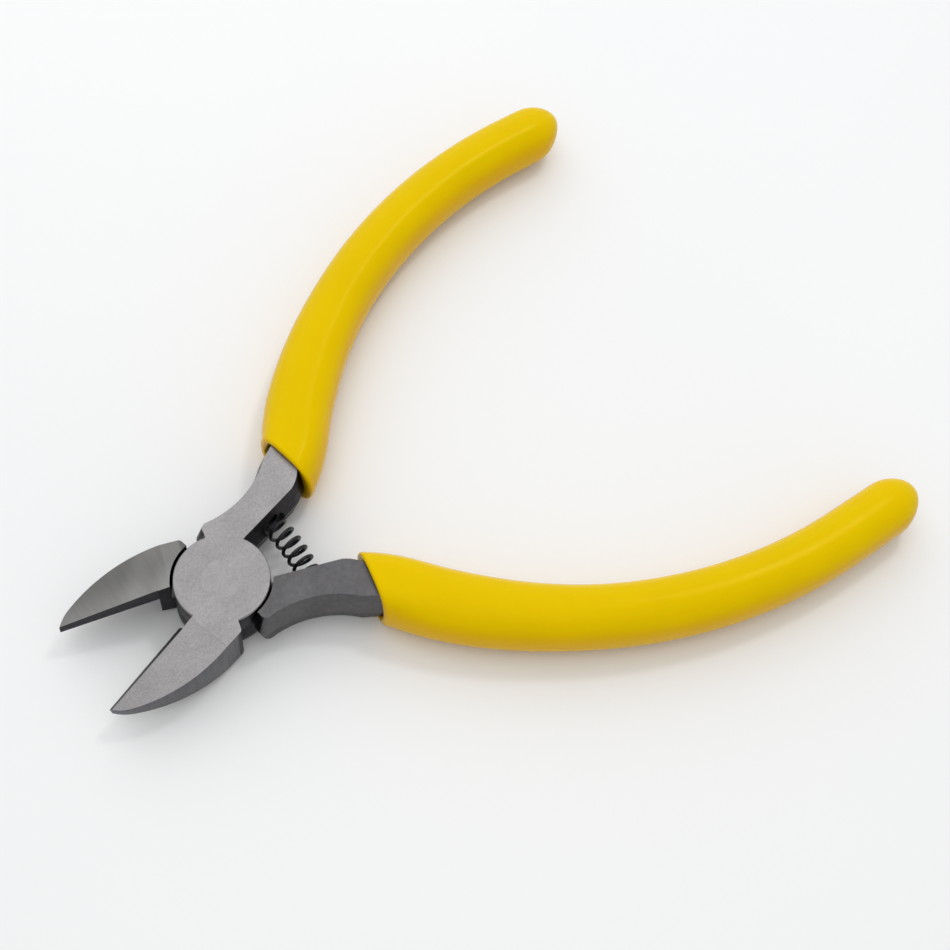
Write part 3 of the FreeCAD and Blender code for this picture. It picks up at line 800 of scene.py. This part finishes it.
def rivet_material():
    """Ground steel like the disc's, with a faint seam round its edge."""
    g = Graph("rivet_ground_steel")
    here = g.place(RIVET_TURN)
    grain = g.noise(here, *GRAIN)
    cloud = g.noise(here, *RIVET_CLOUD)
    x, y, _ = g.split(here)
    seam = g.zone(g.distance(x, y), *RIVET_SEAM_RADIUS, 1.0, 0.97)
    tone = g.product(g.tone(grain, 0.86, 1.12, GROUND_SPAN), g.tone(cloud, 0.92, 1.04), seam)
    g.set("Base Color", g.scaled(RIVET, tone))
    g.set("Metallic", 1.0)
    g.set("Roughness", g.tone(grain, 0.36, 0.5))
    g.set("Normal", g.bump(grain, 0.012, 0.8))
    return g.material


# ------------------------------------------------------------ wire, vinyl and floor
WIRE_BLACK = (0.008, 0.008, 0.010)
WIRE_GRAIN = (2600.0, 3.0, 0.6)

VINYL_DEEP = (0.745, 0.503, 0.0)
VINYL_BRIGHT = (0.778, 0.527, 0.0)
# painted shade: the grips' sides and underside more orange
VINYL_SIDE_SHADE = (0.725, 0.42, 0.0)
VINYL_SIDE_SHADE_FACING = (0.75, 0.1)
VINYL_CLOUD = (60.0, 3.0, 0.55)
VINYL_PEEL = (700.0, 2.0, 0.5)
VINYL_WAVE = (120.0, 1.0, 0.5)

FLOOR_GREY = (0.86, 0.86, 0.86)
FLOOR_PALE = (0.88, 0.88, 0.875)
FLOOR_CLOUD = (6.0, 2.0, 0.5)
FLOOR_GRAIN = (900.0, 2.0, 0.5)


def spring_material():
    """Blackened wire."""
    g = Graph("black_spring_wire")
    grain = g.noise(g.place(), *WIRE_GRAIN)
    g.set("Base Color", g.scaled(WIRE_BLACK, g.tone(grain, 0.7, 1.4)))
    g.set("Specular IOR Level", 0.35)
    g.set("Roughness", g.tone(grain, 0.3, 0.5))
    g.set("Normal", g.bump(grain, 0.01, 0.6))
    return g.material


def vinyl_material():
    """Dipped yellow vinyl: soft gloss, faint ripples, slightly deeper colour in patches, and a
    painted shade that turns its sides and underside more orange.
    """
    g = Graph("yellow_dipped_vinyl")
    here = g.place()
    cloud = g.noise(here, *VINYL_CLOUD)
    peel = g.noise(here, *VINYL_PEEL)
    wave = g.noise(here, *VINYL_WAVE)
    base = g.blend(g.tone(cloud, 0.0, 1.0), VINYL_DEEP, VINYL_BRIGHT)
    # painted shade, by how far the surface faces up
    rise = g.split(g.coordinates.outputs["Normal"])[2]
    upper = g.ramp(rise, *VINYL_SIDE_SHADE_FACING, 1.0, 0.0)
    g.set("Base Color", g.blend(upper, VINYL_SIDE_SHADE, base))
    g.set("Roughness", g.tone(peel, 0.2, 0.27))
    g.set("Subsurface Weight", 0.3)
    g.set("Subsurface Radius", (1.0, 0.45, 0.05))
    g.set("Subsurface Scale", 1.2 * MM)
    g.set("Specular IOR Level", 0.1)
    g.set("Specular Tint", (1.0, 0.78, 0.15, 1.0))
    ripple = g.bump(wave, 0.06, 0.3)
    g.set("Normal", g.bump(peel, 0.01, 0.35, ripple))
    return g.material


def floor_material():
    """Pale matt floor with hardly visible clouds."""
    g = Graph("pale_floor")
    here = g.place()
    cloud = g.noise(here, *FLOOR_CLOUD)
    fine = g.noise(here, *FLOOR_GRAIN)
    g.set("Base Color", g.blend(g.tone(cloud, 0.0, 1.0), FLOOR_GREY, FLOOR_PALE))
    g.set("Roughness", 0.6)
    g.set("Normal", g.bump(fine, 0.01, 0.3))
    return g.material


# ------------------------------------------------------------ the object
def dress(node, material):
    """Give a CAD node its finish."""
    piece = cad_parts[node]
    for slot in piece.material_slots:
        slot.material = material
    return piece


def soften(piece):
    """Break a piece's sharp edges slightly."""
    weld = piece.modifiers.new("weld", "WELD")
    weld.merge_threshold = WELD_GAP * MM
    edge = piece.modifiers.new("edge_break", "BEVEL")
    edge.width = EDGE_BREAK * MM
    edge.segments = EDGE_SEGMENTS
    edge.limit_method = "ANGLE"
    edge.angle_limit = EDGE_ANGLE
    edge.use_clamp_overlap = True
    edge.harden_normals = True


def make_grips():
    vinyl = vinyl_material()
    make_grip("top_grip_vinyl", "top_lever_grip", "top_half", 1, TOP_GRIP_END_RUN, vinyl)
    make_grip(
        "bottom_grip_vinyl", "bottom_lever_grip", "bottom_half", -1, BOTTOM_GRIP_END_RUN, vinyl
    )


soften(dress("top_lever", steel_material("top_lever_steel", 1, True)))
soften(dress("bottom_lever", steel_material("bottom_lever_steel", -1, False)))
dress("pivot_rivet", rivet_material())
make_grips()
make_spring(spring_material())


# ------------------------------------------------------------ floor, light and camera
CAMERA_TARGET = Vector((42.8905, -4.7318, 4.0)) * MM
CAMERA_AZIMUTH = -0.7361
CAMERA_ELEVATION = 1.0787
CAMERA_DISTANCE = 273.96 * MM
CAMERA_ROLL = 0.1411
CAMERA_LENS = 66.22
CAMERA_SENSOR = 36.0
CAMERA_NEAR = 0.01

# in metres
FLOOR_HALF_SIZE = 1.6

WINDOW_DIRECTION = Vector((0.48, 0.13, 0.87))
SKY_COLOUR = (0.97, 0.985, 1.0, 1.0)
SKY_STRENGTH = 0.67


def camera_axes():
    """Camera position, and its right, up and backward directions."""
    back = Vector((
        math.sin(CAMERA_AZIMUTH) * math.cos(CAMERA_ELEVATION),
        -math.cos(CAMERA_AZIMUTH) * math.cos(CAMERA_ELEVATION),
        math.sin(CAMERA_ELEVATION),
    ))
    level = (-back).cross(UP).normalized()
    upright = level.cross(-back)
    right = level * math.cos(CAMERA_ROLL) + upright * math.sin(CAMERA_ROLL)
    up = upright * math.cos(CAMERA_ROLL) - level * math.sin(CAMERA_ROLL)
    return CAMERA_TARGET + back * CAMERA_DISTANCE, right, up, back


def make_camera():
    position, right, up, back = camera_axes()
    data = bpy.data.cameras.new("camera")
    data.lens = CAMERA_LENS
    data.sensor_width = CAMERA_SENSOR
    data.clip_start = CAMERA_NEAR
    camera = bpy.data.objects.new("camera", data)
    turned = Matrix((right, up, back)).transposed().to_4x4()
    camera.matrix_world = Matrix.Translation(position) @ turned
    bpy.context.scene.collection.objects.link(camera)
    bpy.context.scene.camera = camera


def make_floor():
    size, z = FLOOR_HALF_SIZE, cad_low.z
    mesh = bpy.data.meshes.new("floor")
    corners = [(-size, -size, z), (size, -size, z), (size, size, z), (-size, size, z)]
    mesh.from_pydata(corners, [], [(0, 1, 2, 3)])
    mesh.materials.append(floor_material())
    floor = bpy.data.objects.new("floor", mesh)
    bpy.context.scene.collection.objects.link(floor)


def area_light(name, direction, distance, size, power):
    """A round lamp that looks at the tool from a direction."""
    data = bpy.data.lights.new(name, "AREA")
    data.shape = "DISK"
    data.size = size
    data.energy = power
    light = bpy.data.objects.new(name, data)
    direction = Vector(direction).normalized()
    light.location = CAMERA_TARGET + direction * distance
    light.rotation_euler = direction.to_track_quat("Z", "Y").to_euler()
    bpy.context.scene.collection.objects.link(light)


def make_lights():
    """A large key light beyond the tool, a small window, a fill by the camera and the sky."""
    _, right, up, back = camera_axes()
    ahead = Vector((up.x, up.y, 0)).normalized()
    aside = Vector((right.x, right.y, 0)).normalized()
    key_direction = ahead - aside * 0.3 + UP * 1.15
    area_light("key", key_direction, distance=0.5, size=0.7, power=0.9)
    area_light("window", WINDOW_DIRECTION, distance=0.7, size=0.1, power=0.5)
    area_light("fill", back + ahead * 0.3, distance=0.6, size=0.5, power=0.55)
    world = bpy.data.worlds.new("studio")
    world.use_nodes = True
    background = world.node_tree.nodes["Background"]
    background.inputs["Color"].default_value = SKY_COLOUR
    background.inputs["Strength"].default_value = SKY_STRENGTH
    bpy.context.scene.world = world


make_floor()
make_lights()
make_camera()
bpy.context.scene.view_settings.view_transform = "Standard"
